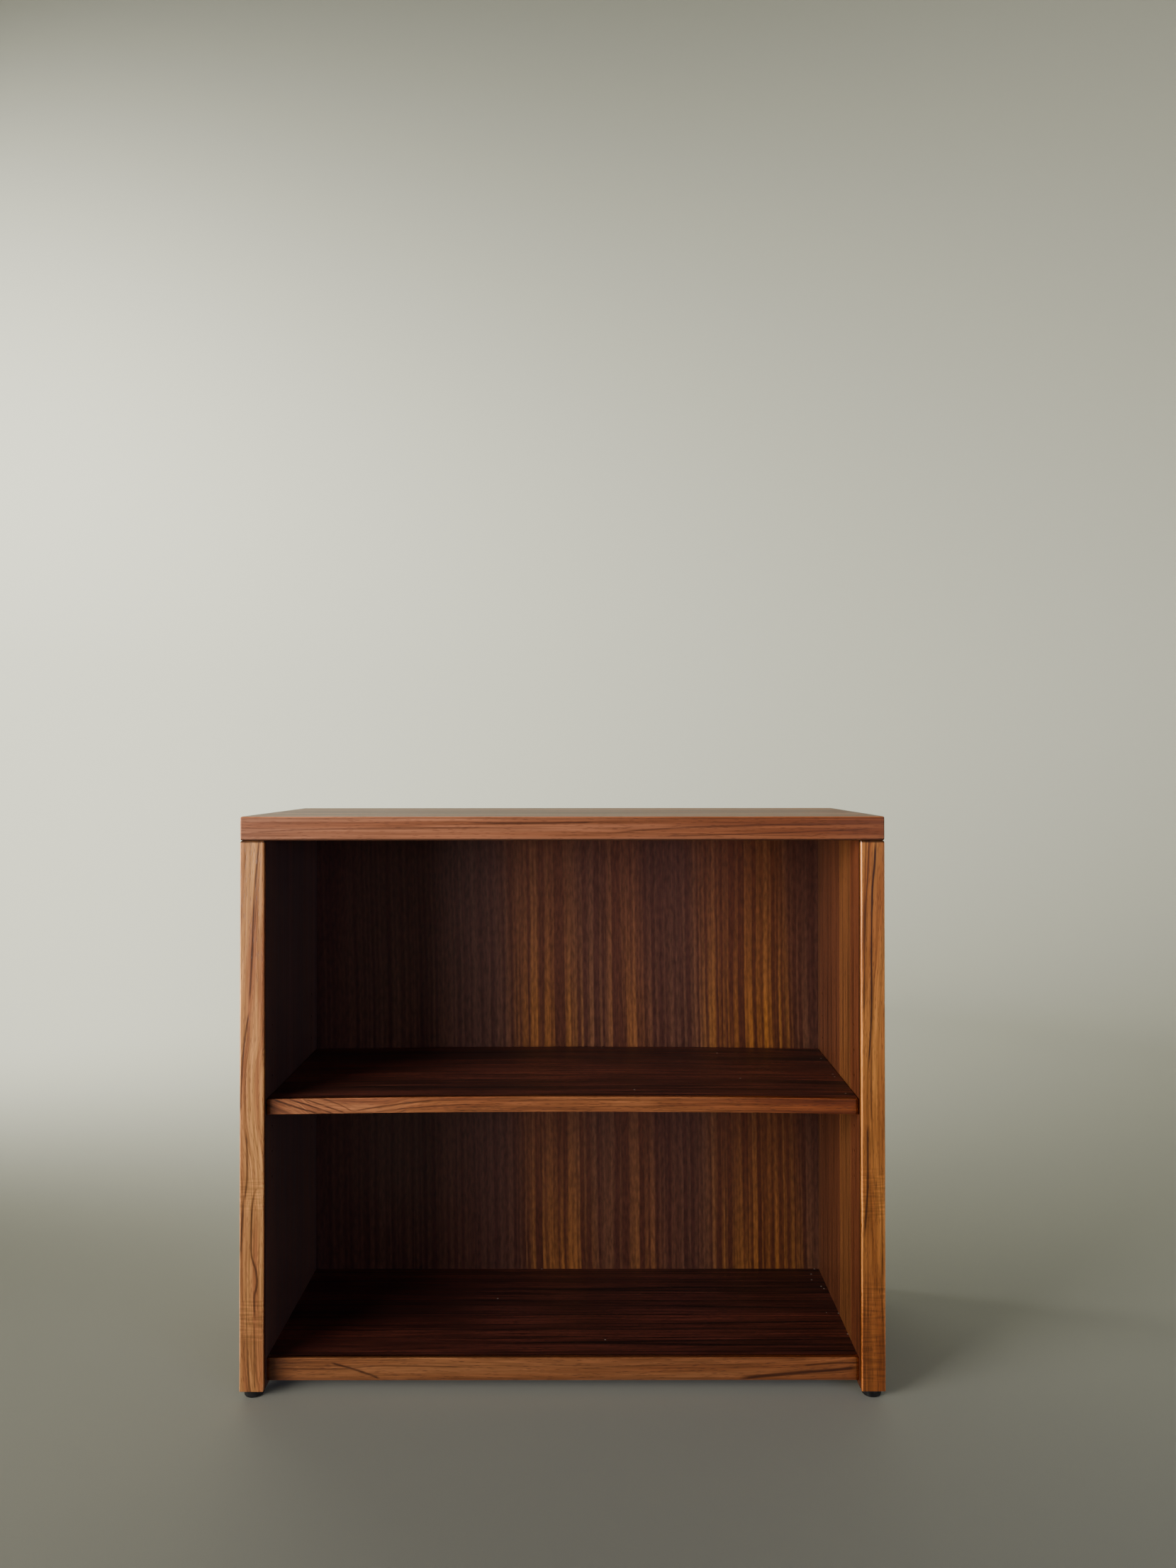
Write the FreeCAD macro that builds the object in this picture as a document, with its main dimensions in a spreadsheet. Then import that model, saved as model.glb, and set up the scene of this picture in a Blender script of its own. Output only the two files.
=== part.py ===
import FreeCAD, Part
import os

import Sketcher
from FreeCAD import Rotation, Vector

# A low open bookcase with one adjustable shelf: veneered boards lipped in solid teak,
# a back let into grooves, a shelf carried on two hidden bent wires, and four nailed glides.
# Frame: X is the width, Y the depth with the front towards -Y, Z is up.
# The origin lies on the floor, under the middle of the carcase.

DIMENSIONS = [
    ("width", 800.0, "across the sides and the top"),
    ("depth", 300.0, "front of the sides to their rear edges"),
    ("height", 720.0, "floor to the top surface"),
    ("panel", 30.0, "thickness of the top and the sides"),
    ("lipping", 8.0, "solid edging glued to a board's edge"),
    ("arris", 1.6, "chamfer on the sides and along the joint under the top"),
    ("top_arris", 1.3, "chamfer round the upper edge of the top"),
    ("eased", 0.6, "softened edge on the bottom and the shelf"),
    ("glide_height", 9.0, "floor to the underside of the sides"),
    ("glide_radius", 12.0, "glide at its widest"),
    ("glide_round", 2.5, "rounding round the foot of a glide"),
    ("glide_inset", 14.0, "glide centre from the front and the rear edge"),
    ("bottom_thick", 28.0, "thickness of the bottom"),
    ("bottom_level", 43.0, "floor to the upper face of the bottom"),
    ("bottom_set", 15.0, "bottom's front edge behind the sides' fronts"),
    ("back_set", 258.0, "face of the back behind the sides' fronts"),
    ("back_thick", 6.0, "thickness of the back"),
    ("groove_deep", 6.0, "groove that holds the back"),
    ("groove_wide", 6.2, "the same groove, across"),
    ("back_bite", 5.5, "how far the back reaches into its grooves"),
    ("shelf_thick", 19.0, "thickness of the shelf"),
    ("shelf_level", 367.0, "floor to the shelf's upper face at its ends"),
    ("shelf_set", 10.0, "shelf's front edge behind the sides' fronts"),
    ("shelf_gap", 1.0, "gap between a shelf end and the side"),
    ("shelf_rear_gap", 3.0, "gap between the shelf and the back"),
    ("shelf_crown", 3.3, "rise of the shelf at mid span"),
    ("kerf_wide", 3.6, "slot in a shelf end, its height"),
    ("kerf_deep", 12.0, "the same slot, into the shelf"),
    ("kerf_start", 15.0, "board left whole in front of the slot"),
    ("row_front", 37.0, "front row of wire holes behind the sides' fronts"),
    ("row_apart", 192.0, "front row to rear row"),
    ("hole_pitch", 32.0, "one wire hole to the next"),
    ("hole_steps", 3.0, "holes above the shelf, and as many below it"),
    ("hole_radius", 1.6, "wire hole"),
    ("hole_deep", 11.0, "wire hole, into the side"),
    ("wire_radius", 1.5, "bent wire"),
    ("wire_bend", 4.0, "bend at a prong, to the wire's middle"),
    ("prong_bite", 9.0, "prong inside the side"),
    ("wire_inboard", 10.0, "wire's long run from the side's face"),
    ("dowel_radius", 4.0, "dowel"),
    ("dowel_length", 40.0, "dowel, end to end"),
    ("dowel_hole", 4.05, "dowel hole's radius"),
    ("dowel_short", 17.0, "dowel hole in the face of a board"),
    ("dowel_long", 25.0, "dowel hole in the end of a board"),
    ("dowel_first", 40.0, "first dowel behind the sides' fronts"),
    ("dowel_apart", 60.0, "one dowel to the next"),
    ("nail_radius", 1.2, "shank of a glide nail"),
    ("nail_head", 3.2, "radius of its head"),
    ("nail_head_thick", 1.0, "thickness of its head"),
    ("nail_bite", 18.0, "shank inside the side"),
    ("nail_recess", 4.0, "radius of the recess in the glide's foot"),
    ("nail_recess_deep", 4.5, "depth of that recess"),
    ("nail_hole", 1.25, "radius of the nail's way through"),
]

DOWELS_IN_A_JOINT = 4

# Levels and depths that several pieces share, as expressions over the sheet.
LEFT = "-dims.width / 2"
FRONT = "-dims.depth / 2"
INSIDE = "dims.width - 2 * dims.panel"
SIDE_HEIGHT = "dims.height - dims.panel - dims.glide_height"
BOARD_DEPTH = "dims.depth - dims.lipping"
BOARD_FRONT = FRONT + " + dims.lipping"
BOTTOM_UNDERSIDE = "dims.bottom_level - dims.bottom_thick"
BOTTOM_DEPTH = "dims.depth - dims.bottom_set - dims.lipping"
SHELF_WIDTH = INSIDE + " - 2 * dims.shelf_gap"
SHELF_UNDERSIDE = "dims.shelf_level - dims.shelf_thick"
SHELF_DEPTH = "dims.back_set - dims.shelf_rear_gap - dims.shelf_set - dims.lipping"
WIRE_LEVEL = "dims.shelf_level - dims.shelf_thick / 2"
SHELF_RADIUS = "(" + SHELF_WIDTH + ") ^ 2 / (8 * dims.shelf_crown) + dims.shelf_crown / 2"

doc = FreeCAD.newDocument("bookcase")


def make_sheet():
    """Write every driving dimension to a sheet, one row each."""
    sheet = doc.addObject("Spreadsheet::Sheet", "dims")
    for row, (alias, value, meaning) in enumerate(DIMENSIONS, start=1):
        sheet.set("A%d" % row, alias)
        sheet.set("B%d" % row, str(value))
        sheet.set("C%d" % row, meaning)
        sheet.setAlias("B%d" % row, alias)
    doc.recompute()
    return sheet


sheet = make_sheet()


def number(expression):
    """The present value of an expression over the sheet."""
    return float(sheet.evalExpression(expression))


# ---- sketches and features -------------------------------------------------------------


def new_body(name):
    body = doc.addObject("PartDesign::Body", name)
    body.Label = name
    return body


def origin_feature(body, role):
    for feature in body.Origin.OriginFeatures:
        if feature.Role == role:
            return feature
    raise ValueError("no origin feature " + role)


def new_sketch(body, name, plane, offset="0"):
    """An empty sketch on one of the body's own planes, moved along the plane's normal."""
    sketch = body.newObject("Sketcher::SketchObject", name)
    sketch.AttachmentSupport = [(origin_feature(body, plane), "")]
    sketch.MapMode = "FlatFace"
    sketch.setExpression("AttachmentOffset.Base.z", offset)
    return sketch


def drive(sketch, constraint, expression):
    """Add a constraint whose value follows an expression."""
    index = sketch.addConstraint(constraint)
    sketch.setExpression("Constraints[%d]" % index, expression)


def place_point(sketch, geometry, point, x, y):
    """Hold a point at (x, y) from the sketch's origin; "0" puts it on that axis."""
    for kind, axis, value in (("DistanceX", -2, x), ("DistanceY", -1, y)):
        if value == "0":
            sketch.addConstraint(Sketcher.Constraint("PointOnObject", geometry, point, axis))
        else:
            constraint = Sketcher.Constraint(kind, -1, 1, geometry, point, number(value))
            drive(sketch, constraint, value)


def rectangle(sketch, x, y, wide, high):
    """A closed rectangle from its lower left corner and its two sides, as expressions."""
    left, low = number(x), number(y)
    right, top = left + number(wide), low + number(high)
    corners = [Vector(left, low), Vector(right, low), Vector(right, top), Vector(left, top)]
    first = sketch.GeometryCount
    for i in range(4):
        sketch.addGeometry(Part.LineSegment(corners[i], corners[(i + 1) % 4]), False)
    for i in range(4):
        joined = Sketcher.Constraint("Coincident", first + i, 2, first + (i + 1) % 4, 1)
        sketch.addConstraint(joined)
        level = "Horizontal" if i % 2 == 0 else "Vertical"
        sketch.addConstraint(Sketcher.Constraint(level, first + i))
    place_point(sketch, first, 1, x, y)
    width = Sketcher.Constraint("DistanceX", first, 1, first, 2, number(wide))
    drive(sketch, width, wide)
    height = Sketcher.Constraint("DistanceY", first + 1, 1, first + 1, 2, number(high))
    drive(sketch, height, high)


def circle(sketch, x, y, radius):
    """A circle from its centre and radius, as expressions."""
    centre = Vector(number(x), number(y))
    index = sketch.addGeometry(Part.Circle(centre, Vector(0, 0, 1), number(radius)), False)
    place_point(sketch, index, 3, x, y)
    drive(sketch, Sketcher.Constraint("Radius", index, number(radius)), radius)


def pad(body, sketch, length, backwards=False):
    feature = body.newObject("PartDesign::Pad", sketch.Name + "_pad")
    feature.Profile = sketch
    feature.setExpression("Length", length)
    feature.Reversed = backwards
    doc.recompute()
    return feature


def pocket(body, sketch, length, backwards=False):
    """Cut the sketch into the body, and stop if it met no wood."""
    before = body.Shape.Volume
    feature = body.newObject("PartDesign::Pocket", sketch.Name + "_pocket")
    feature.Profile = sketch
    feature.setExpression("Length", length)
    feature.Reversed = backwards
    doc.recompute()
    if not body.Shape.Volume < before:
        raise ValueError(feature.Name + " cuts nothing")
    return feature


def chamfer(body, name, size, lies_on_edge):
    """Chamfer each straight edge whose middle the test accepts."""
    base = body.Tip
    names = []
    for index, edge in enumerate(base.Shape.Edges, start=1):
        if lies_on_edge(edge.CenterOfMass):
            names.append("Edge%d" % index)
    feature = body.newObject("PartDesign::Chamfer", name)
    feature.Base = (base, names)
    feature.setExpression("Size", size)
    doc.recompute()
    return feature


def close(a, b):
    return abs(a - b) < 0.01


def put(piece, x, y, z):
    """Place a piece by expressions for its origin."""
    piece.setExpression("Placement.Base.x", x)
    piece.setExpression("Placement.Base.y", y)
    piece.setExpression("Placement.Base.z", z)


def dowel_rows(offset):
    """Where the dowels of one joint stand, front to rear, from a board's own front."""
    place = "dims.dowel_first + %d * dims.dowel_apart - (" + offset + ")"
    return [place % i for i in range(DOWELS_IN_A_JOINT)]


# ---- top --------------------------------------------------------------------------------


def make_top_board():
    """The veneered top, grooved underneath for the back and bored for dowels."""
    body = new_body("top_board")
    wide = "dims.width - 2 * dims.lipping"
    outline = new_sketch(body, "top_outline", "XY_Plane")
    rectangle(outline, "0", "0", wide, BOARD_DEPTH)
    pad(body, outline, "dims.panel")

    groove = new_sketch(body, "top_groove", "XY_Plane")
    start = "dims.panel - dims.lipping - dims.groove_deep"
    length = INSIDE + " + 2 * dims.groove_deep"
    rectangle(groove, start, "dims.back_set - dims.lipping", length, "dims.groove_wide")
    pocket(body, groove, "dims.groove_deep", backwards=True)

    bores = new_sketch(body, "top_dowel_bores", "XY_Plane")
    left_row = "dims.panel / 2 - dims.lipping"
    right_row = "dims.width - dims.panel / 2 - dims.lipping"
    for row in (left_row, right_row):
        for y in dowel_rows("dims.lipping"):
            circle(bores, row, y, "dims.dowel_hole")
    pocket(body, bores, "dims.dowel_short", backwards=True)
    put(body, LEFT + " + dims.lipping", BOARD_FRONT, "dims.height - dims.panel")
    return body


def make_top_front_lipping():
    """Solid edging across the full front, chamfered on every front edge."""
    body = new_body("top_front_lipping")
    outline = new_sketch(body, "top_front_outline", "XY_Plane")
    rectangle(outline, "0", "0", "dims.width", "dims.lipping")
    pad(body, outline, "dims.panel")
    wide, high = number("dims.width"), number("dims.panel")

    def lower_or_upright(p):
        upright = close(p.y, 0) and (close(p.x, 0) or close(p.x, wide))
        lower = close(p.z, 0) and (close(p.y, 0) or close(p.x, 0) or close(p.x, wide))
        return upright or lower

    def upper(p):
        return close(p.z, high) and p.y < number("dims.lipping") - 0.01

    chamfer(body, "top_front_arris", "dims.arris", lower_or_upright)
    chamfer(body, "top_front_upper_arris", "dims.top_arris", upper)
    put(body, LEFT, FRONT, "dims.height - dims.panel")
    return body


def make_top_end_lipping(hand):
    """Solid edging on one end of the top, behind the front lipping."""
    body = new_body("top_%s_end_lipping" % hand)
    outline = new_sketch(body, hand + "_end_outline", "XY_Plane")
    rectangle(outline, "0", "0", "dims.lipping", BOARD_DEPTH)
    pad(body, outline, "dims.panel")
    outer = 0 if hand == "left" else number("dims.lipping")
    high = number("dims.panel")
    chamfer(body, hand + "_end_arris", "dims.arris",
            lambda p: close(p.x, outer) and close(p.z, 0))
    chamfer(body, hand + "_end_upper_arris", "dims.top_arris",
            lambda p: close(p.x, outer) and close(p.z, high))
    x = LEFT if hand == "left" else "dims.width / 2 - dims.lipping"
    put(body, x, BOARD_FRONT, "dims.height - dims.panel")
    return body


# ---- sides ------------------------------------------------------------------------------


def make_side_board(hand):
    """One side: grooved for the back, bored for shelf wires, dowels and glide nails."""
    body = new_body(hand + "_side_board")
    inner = "dims.panel" if hand == "left" else "0"
    inward_cut = hand == "right"
    outline = new_sketch(body, hand + "_side_outline", "YZ_Plane")
    rectangle(outline, "0", "0", BOARD_DEPTH, SIDE_HEIGHT)
    pad(body, outline, "dims.panel")

    groove = new_sketch(body, hand + "_side_groove", "YZ_Plane", inner)
    foot = "dims.bottom_level - dims.groove_deep - dims.glide_height"
    rectangle(groove, "dims.back_set - dims.lipping", foot,
              "dims.groove_wide", SIDE_HEIGHT + " - (" + foot + ")")
    pocket(body, groove, "dims.groove_deep", backwards=inward_cut)

    holes = new_sketch(body, hand + "_wire_holes", "YZ_Plane", inner)
    lowest = WIRE_LEVEL + " - dims.glide_height - dims.hole_steps * dims.hole_pitch"
    front_row = "dims.row_front - dims.lipping"
    for row in (front_row, front_row + " + dims.row_apart"):
        circle(holes, row, lowest, "dims.hole_radius")
    lowest_pair = pocket(body, holes, "dims.hole_deep", backwards=inward_cut)
    rows = body.newObject("PartDesign::LinearPattern", hand + "_wire_hole_rows")
    rows.Originals = [lowest_pair]
    rows.Direction = (origin_feature(body, "Z_Axis"), [""])
    rows.setExpression("Length", "2 * dims.hole_steps * dims.hole_pitch")
    rows.setExpression("Occurrences", "2 * dims.hole_steps + 1")
    body.Tip = rows
    doc.recompute()

    top_bores = new_sketch(body, hand + "_side_top_bores", "XY_Plane", SIDE_HEIGHT)
    for y in dowel_rows("dims.lipping"):
        circle(top_bores, "dims.panel / 2", y, "dims.dowel_hole")
    pocket(body, top_bores, "dims.dowel_long")

    bottom_bores = new_sketch(body, hand + "_side_bottom_bores", "YZ_Plane", inner)
    level = BOTTOM_UNDERSIDE + " + dims.bottom_thick / 2 - dims.glide_height"
    for y in dowel_rows("dims.lipping"):
        circle(bottom_bores, y, level, "dims.dowel_hole")
    pocket(body, bottom_bores, "dims.dowel_short", backwards=inward_cut)

    nail_bores = new_sketch(body, hand + "_side_nail_bores", "XY_Plane")
    circle(nail_bores, "dims.panel / 2", "dims.glide_inset - dims.lipping", "dims.nail_hole")
    circle(nail_bores, "dims.panel / 2", BOARD_DEPTH + " - dims.glide_inset", "dims.nail_hole")
    pocket(body, nail_bores, "dims.nail_bite", backwards=True)

    outer = 0 if hand == "left" else number("dims.panel")
    high = number(SIDE_HEIGHT)
    chamfer(body, hand + "_side_top_arris", "dims.arris",
            lambda p: close(p.x, outer) and close(p.z, high))
    x = LEFT if hand == "left" else "dims.width / 2 - dims.panel"
    put(body, x, BOARD_FRONT, "dims.glide_height")
    return body


def make_side_front_lipping(hand):
    """Solid edging up the front of one side, chamfered all round its front face."""
    body = new_body(hand + "_side_front_lipping")
    outline = new_sketch(body, hand + "_front_outline", "XY_Plane")
    rectangle(outline, "0", "0", "dims.panel", "dims.lipping")
    pad(body, outline, SIDE_HEIGHT)
    outer = 0 if hand == "left" else number("dims.panel")
    high = number(SIDE_HEIGHT)

    def front_or_outer_top(p):
        upright = close(p.y, 0) and not close(p.z, 0) and not close(p.z, high)
        top = close(p.z, high) and (close(p.y, 0) or close(p.x, outer))
        return upright or top

    chamfer(body, hand + "_front_arris", "dims.arris", front_or_outer_top)
    chamfer(body, hand + "_foot_arris", "dims.eased",
            lambda p: close(p.y, 0) and close(p.z, 0))
    x = LEFT if hand == "left" else "dims.width / 2 - dims.panel"
    put(body, x, FRONT, "dims.glide_height")
    return body


# ---- bottom and back --------------------------------------------------------------------


def make_bottom_board():
    """The veneered bottom between the sides, grooved on top for the back."""
    body = new_body("bottom_board")
    outline = new_sketch(body, "bottom_outline", "XY_Plane")
    rectangle(outline, "0", "0", INSIDE, BOTTOM_DEPTH)
    pad(body, outline, "dims.bottom_thick")

    groove = new_sketch(body, "bottom_groove", "XY_Plane", "dims.bottom_thick")
    front = "dims.back_set - dims.bottom_set - dims.lipping"
    rectangle(groove, "0", front, INSIDE, "dims.groove_wide")
    pocket(body, groove, "dims.groove_deep")

    middle = "dims.bottom_thick / 2"
    for end, offset, inwards in (("left", "0", True), ("right", INSIDE, False)):
        bores = new_sketch(body, "bottom_%s_bores" % end, "YZ_Plane", offset)
        for y in dowel_rows("dims.bottom_set + dims.lipping"):
            circle(bores, y, middle, "dims.dowel_hole")
        pocket(body, bores, "dims.dowel_long", backwards=inwards)
    put(body, LEFT + " + dims.panel", BOARD_FRONT + " + dims.bottom_set", BOTTOM_UNDERSIDE)
    return body


def make_bottom_front_lipping():
    """Solid edging on the bottom, its two long front edges eased."""
    body = new_body("bottom_front_lipping")
    outline = new_sketch(body, "bottom_front_outline", "XY_Plane")
    rectangle(outline, "0", "0", INSIDE, "dims.lipping")
    pad(body, outline, "dims.bottom_thick")
    high = number("dims.bottom_thick")
    chamfer(body, "bottom_front_eased", "dims.eased",
            lambda p: close(p.y, 0) and (close(p.z, 0) or close(p.z, high)))
    put(body, LEFT + " + dims.panel", FRONT + " + dims.bottom_set", BOTTOM_UNDERSIDE)
    return body


def make_back_panel():
    """The veneered back, let into all four boards."""
    body = new_body("back_panel")
    outline = new_sketch(body, "back_outline", "XY_Plane")
    rectangle(outline, "0", "0", INSIDE + " + 2 * dims.back_bite", "dims.back_thick")
    pad(body, outline, "dims.height - dims.panel - dims.bottom_level + 2 * dims.back_bite")
    put(body, LEFT + " + dims.panel - dims.back_bite", FRONT + " + dims.back_set",
        "dims.bottom_level - dims.back_bite")
    return body


# ---- shelf ------------------------------------------------------------------------------


def crowned_profile(sketch):
    """The shelf seen from the front: two equal arcs that rise at mid span."""
    wide = number(SHELF_WIDTH)
    thick = number("dims.shelf_thick")
    crown = number("dims.shelf_crown")
    low = Part.Arc(Vector(0, 0), Vector(wide / 2, crown), Vector(wide, 0))
    high = Part.Arc(Vector(0, thick), Vector(wide / 2, thick + crown), Vector(wide, thick))
    # An arc runs anticlockwise, so its first point is at the right-hand end.
    sketch.addGeometry(low, False)
    sketch.addGeometry(high, False)
    sketch.addGeometry(Part.LineSegment(Vector(0, 0), Vector(0, thick)), False)
    sketch.addGeometry(Part.LineSegment(Vector(wide, 0), Vector(wide, thick)), False)
    for line, arc_point in ((2, 2), (3, 1)):
        sketch.addConstraint(Sketcher.Constraint("Coincident", line, 1, 0, arc_point))
        sketch.addConstraint(Sketcher.Constraint("Coincident", line, 2, 1, arc_point))
        sketch.addConstraint(Sketcher.Constraint("Vertical", line))
    place_point(sketch, 2, 1, "0", "0")
    drive(sketch, Sketcher.Constraint("DistanceY", 2, 1, 2, 2, thick), "dims.shelf_thick")
    drive(sketch, Sketcher.Constraint("DistanceX", 2, 1, 3, 1, wide), SHELF_WIDTH)
    sketch.addConstraint(Sketcher.Constraint("PointOnObject", 3, 1, -1))
    radius = number(SHELF_RADIUS)
    drive(sketch, Sketcher.Constraint("Radius", 0, radius), SHELF_RADIUS)
    sketch.addConstraint(Sketcher.Constraint("Equal", 0, 1))


def make_shelf_board():
    """The crowned shelf, slotted from behind in both ends for the wires."""
    body = new_body("shelf_board")
    profile = new_sketch(body, "shelf_profile", "XZ_Plane")
    crowned_profile(profile)
    pad(body, profile, SHELF_DEPTH, backwards=True)

    kerfs = new_sketch(body, "shelf_kerfs", "XZ_Plane", "-(" + SHELF_DEPTH + ")")
    low = "dims.shelf_thick / 2 - dims.kerf_wide / 2"
    rectangle(kerfs, "0", low, "dims.kerf_deep", "dims.kerf_wide")
    rectangle(kerfs, SHELF_WIDTH + " - dims.kerf_deep", low, "dims.kerf_deep", "dims.kerf_wide")
    pocket(body, kerfs, SHELF_DEPTH + " - dims.kerf_start", backwards=True)
    put(body, LEFT + " + dims.panel + dims.shelf_gap",
        BOARD_FRONT + " + dims.shelf_set", SHELF_UNDERSIDE)
    return body


def make_shelf_front_lipping():
    """Solid edging on the shelf, to the same crown, its two long front edges eased."""
    body = new_body("shelf_front_lipping")
    profile = new_sketch(body, "shelf_lipping_profile", "XZ_Plane")
    crowned_profile(profile)
    pad(body, profile, "dims.lipping", backwards=True)
    half = number(SHELF_WIDTH) / 2
    chamfer(body, "shelf_front_eased", "dims.eased",
            lambda p: close(p.y, 0) and close(p.x, half))
    put(body, LEFT + " + dims.panel + dims.shelf_gap", FRONT + " + dims.shelf_set",
        SHELF_UNDERSIDE)
    return body


def make_shelf_wire(hand):
    """One bent wire: a long run in the shelf's slot and a prong at each end in the side."""
    body = new_body(hand + "_shelf_wire")
    reach = number("dims.prong_bite + dims.wire_inboard")
    bend = number("dims.wire_bend")
    span = number("dims.row_apart")
    slant = bend * (1 - 0.5 ** 0.5)
    spine = new_sketch(body, hand + "_wire_spine", "XY_Plane")
    spine.addGeometry(Part.LineSegment(Vector(0, 0), Vector(reach - bend, 0)), False)
    spine.addGeometry(Part.Arc(Vector(reach - bend, 0), Vector(reach - slant, slant),
                               Vector(reach, bend)), False)
    spine.addGeometry(Part.LineSegment(Vector(reach, bend), Vector(reach, span - bend)), False)
    spine.addGeometry(Part.Arc(Vector(reach, span - bend), Vector(reach - slant, span - slant),
                               Vector(reach - bend, span)), False)
    spine.addGeometry(Part.LineSegment(Vector(reach - bend, span), Vector(0, span)), False)
    for first, second in ((0, 1), (1, 2), (2, 3), (3, 4)):
        spine.addConstraint(Sketcher.Constraint("Tangent", first, 2, second, 1))
    spine.addConstraint(Sketcher.Constraint("Coincident", 0, 1, -1, 1))
    spine.addConstraint(Sketcher.Constraint("Horizontal", 0))
    spine.addConstraint(Sketcher.Constraint("Vertical", 2))
    spine.addConstraint(Sketcher.Constraint("Horizontal", 4))
    spine.addConstraint(Sketcher.Constraint("PointOnObject", 4, 2, -2))
    spine.addConstraint(Sketcher.Constraint("Equal", 1, 3))
    drive(spine, Sketcher.Constraint("Radius", 1, bend), "dims.wire_bend")
    drive(spine, Sketcher.Constraint("DistanceY", 0, 1, 4, 2, span), "dims.row_apart")
    drive(spine, Sketcher.Constraint("DistanceX", 0, 1, 2, 1, reach),
          "dims.prong_bite + dims.wire_inboard")

    section = new_sketch(body, hand + "_wire_section", "YZ_Plane")
    centre = section.addGeometry(Part.Circle(Vector(0, 0), Vector(0, 0, 1),
                                             number("dims.wire_radius")), False)
    section.addConstraint(Sketcher.Constraint("Coincident", centre, 3, -1, 1))
    drive(section, Sketcher.Constraint("Radius", centre, number("dims.wire_radius")),
          "dims.wire_radius")
    doc.recompute()
    wire = body.newObject("PartDesign::AdditivePipe", hand + "_wire")
    wire.Profile = section
    wire.Spine = spine
    doc.recompute()

    rear_row = FRONT + " + dims.row_front + dims.row_apart"
    if hand == "left":
        put(body, LEFT + " + dims.panel - dims.prong_bite", FRONT + " + dims.row_front", WIRE_LEVEL)
    else:
        body.Placement.Rotation = Rotation(Vector(0, 0, 1), 180)
        put(body, "dims.width / 2 - dims.panel + dims.prong_bite", rear_row, WIRE_LEVEL)
    return body


# ---- dowels, glides and nails -----------------------------------------------------------


def dowel(name, x, y, z, lies_along_x):
    """One plain dowel; it starts at the given point and runs up, or along X."""
    piece = doc.addObject("Part::Cylinder", name)
    piece.setExpression("Radius", "dims.dowel_radius")
    piece.setExpression("Height", "dims.dowel_length")
    if lies_along_x:
        piece.Placement.Rotation = Rotation(Vector(0, 1, 0), 90)
    put(piece, x, y, z)
    return piece


def group(name, pieces):
    """Several separate solids in one piece of the model."""
    compound = doc.addObject("Part::Compound", name)
    compound.Label = name
    compound.Links = pieces
    return compound


def make_dowels(level, hand):
    """The dowels of one corner joint, in one row from front to rear."""
    name = "%s_%s_dowels" % (level, hand)
    if level == "top":
        x = LEFT + " + dims.panel / 2" if hand == "left" else "dims.width / 2 - dims.panel / 2"
        z = "dims.height - dims.panel - dims.dowel_long + (dims.dowel_long + dims.dowel_short"
        z = z + " - dims.dowel_length) / 2"
    else:
        play = "(dims.dowel_long + dims.dowel_short - dims.dowel_length) / 2"
        outer = LEFT + " + dims.panel - dims.dowel_short + " + play
        x = outer if hand == "left" else "dims.width / 2 - dims.panel - dims.dowel_long + " + play
        z = BOTTOM_UNDERSIDE + " + dims.bottom_thick / 2"
    pieces = []
    for index, y in enumerate(dowel_rows("0"), start=1):
        single = "%s_%d" % (name, index)
        pieces.append(dowel(single, x, FRONT + " + " + y, z, level == "bottom"))
    return group(name, pieces)


def corner_place(end, hand):
    """The middle of one glide, as expressions."""
    x = LEFT + " + dims.panel / 2" if hand == "left" else "dims.width / 2 - dims.panel / 2"
    y = FRONT + " + dims.glide_inset" if end == "front" else "dims.depth / 2 - dims.glide_inset"
    return x, y


def make_glide(end, hand):
    """A moulded glide: a short round foot with a recess for its nail's head."""
    name = "%s_%s_glide" % (end, hand)
    body = new_body(name)
    disc = new_sketch(body, name + "_disc", "XY_Plane")
    circle(disc, "0", "0", "dims.glide_radius")
    pad(body, disc, "dims.glide_height")

    recess = new_sketch(body, name + "_recess", "XY_Plane")
    circle(recess, "0", "0", "dims.nail_recess")
    pocket(body, recess, "dims.nail_recess_deep", backwards=True)
    through = new_sketch(body, name + "_through", "XY_Plane")
    circle(through, "0", "0", "dims.nail_hole")
    pocket(body, through, "dims.glide_height", backwards=True)

    radius = number("dims.glide_radius")
    for index, edge in enumerate(body.Tip.Shape.Edges, start=1):
        round_edge = hasattr(edge.Curve, "Radius") and close(edge.Curve.Radius, radius)
        if round_edge and close(edge.CenterOfMass.z, 0):
            foot = "Edge%d" % index
    base = body.Tip
    rounding = body.newObject("PartDesign::Fillet", name + "_rounding")
    rounding.Base = (base, [foot])
    rounding.setExpression("Radius", "dims.glide_round")
    doc.recompute()
    put(body, *corner_place(end, hand), "0")
    return body


def make_glide_nails():
    """One nail through each glide: a flat head in the recess and a shank in the side."""
    nails = []
    head_level = "dims.nail_recess_deep - dims.nail_head_thick"
    for end in ("front", "rear"):
        for hand in ("left", "right"):
            name = "nail_%s_%s" % (end, hand)
            x, y = corner_place(end, hand)
            head = doc.addObject("Part::Cylinder", name + "_head")
            head.setExpression("Radius", "dims.nail_head")
            head.setExpression("Height", "dims.nail_head_thick")
            put(head, x, y, head_level)
            shank = doc.addObject("Part::Cylinder", name + "_shank")
            shank.setExpression("Radius", "dims.nail_radius")
            tip = "dims.glide_height + dims.nail_bite - 1 - (" + head_level + ")"
            shank.setExpression("Height", tip)
            put(shank, x, y, head_level)
            nail = doc.addObject("Part::Fuse", name)
            nail.Base = head
            nail.Tool = shank
            nails.append(nail)
    return group("glide_nails", nails)


# ---- the whole bookcase -----------------------------------------------------------------


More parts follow.
